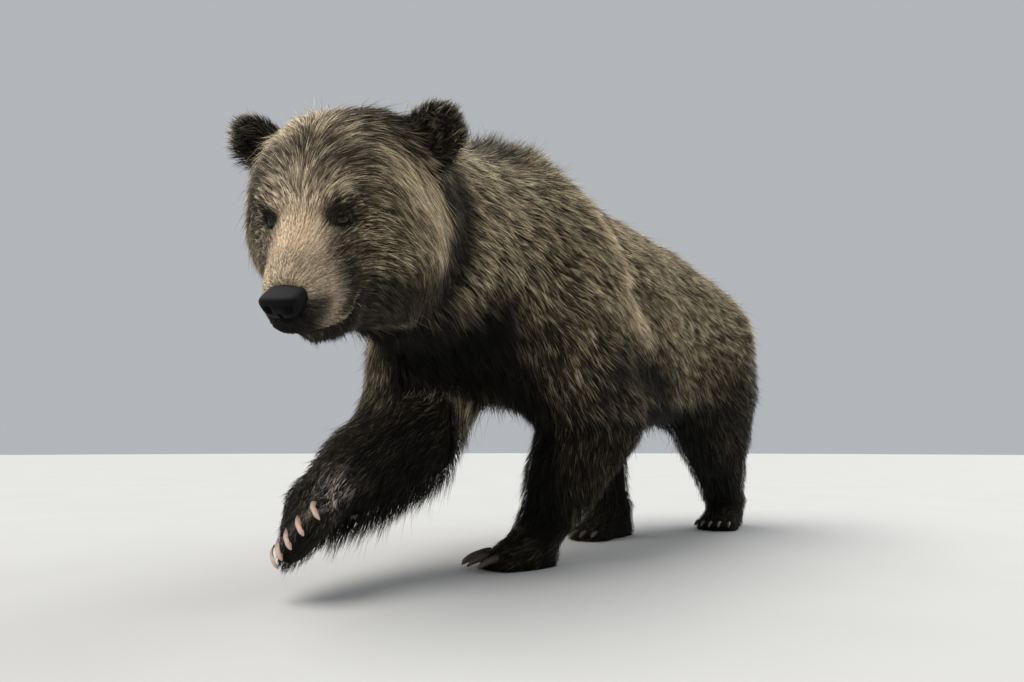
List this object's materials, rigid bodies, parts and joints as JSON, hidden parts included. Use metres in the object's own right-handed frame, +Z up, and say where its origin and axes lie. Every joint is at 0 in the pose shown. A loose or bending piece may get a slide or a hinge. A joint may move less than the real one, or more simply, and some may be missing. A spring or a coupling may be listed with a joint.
{
  "type": "grizzly bear",
  "caption": "Walking grizzly bear, life-size still model: one forefoot raised in mid-step, three feet planted, head low and turned to its left, shaggy grizzled brown coat",
  "frame": {"origin": "on the floor, under the middle of the bear's bounding box", "axes": "+Z up; the bear walks towards -Y, so +Y runs from its head to its tail; its left side is towards +X"},
  "size_m": [0.773, 2.1712, 1.1015],
  "materials": {
    "coat_fur": "long shaggy grizzled fur, dark brown at the roots and blond at the tips",
    "face_fur": "short tan-brown face fur, paler on the muzzle and dark round the eyes",
    "leg_fur": "dense very dark brown leg fur",
    "ear_fur": "short dark brown ear fur",
    "nose_leather": "moist black nose leather with fine grain",
    "eye": "wet dark brown eye",
    "claw": "dark brown horn, worn",
    "claw_pale": "pale beige horn, worn"
  },
  "bodies": {
    "root": {"head": "face_fur", "neck": "coat_fur", "trunk": "coat_fur", "tail": "coat_fur", "ear_left": "ear_fur", "ear_right": "ear_fur", "front_left_upper": "coat_fur", "front_left_lower": "leg_fur", "front_left_paw": "leg_fur", "front_right_upper": "coat_fur", "front_right_lower": "leg_fur", "front_right_paw": "leg_fur", "hind_left_upper": "coat_fur", "hind_left_lower": "leg_fur", "hind_left_paw": "leg_fur", "hind_right_upper": "coat_fur", "hind_right_lower": "leg_fur", "hind_right_paw": "leg_fur", "nose": "nose_leather", "eye_left": "eye", "eye_right": "eye", "front_left_claw_1": "claw", "front_left_claw_2": "claw", "front_left_claw_3": "claw", "front_left_claw_4": "claw", "front_left_claw_5": "claw", "front_right_claw_1": "claw_pale", "front_right_claw_2": "claw_pale", "front_right_claw_3": "claw_pale", "front_right_claw_4": "claw_pale", "front_right_claw_5": "claw_pale", "hind_left_claw_1": "claw", "hind_left_claw_2": "claw", "hind_left_claw_3": "claw", "hind_left_claw_4": "claw", "hind_left_claw_5": "claw", "hind_right_claw_1": "claw", "hind_right_claw_2": "claw", "hind_right_claw_3": "claw", "hind_right_claw_4": "claw", "hind_right_claw_5": "claw"}
  },
  "joints": []
}
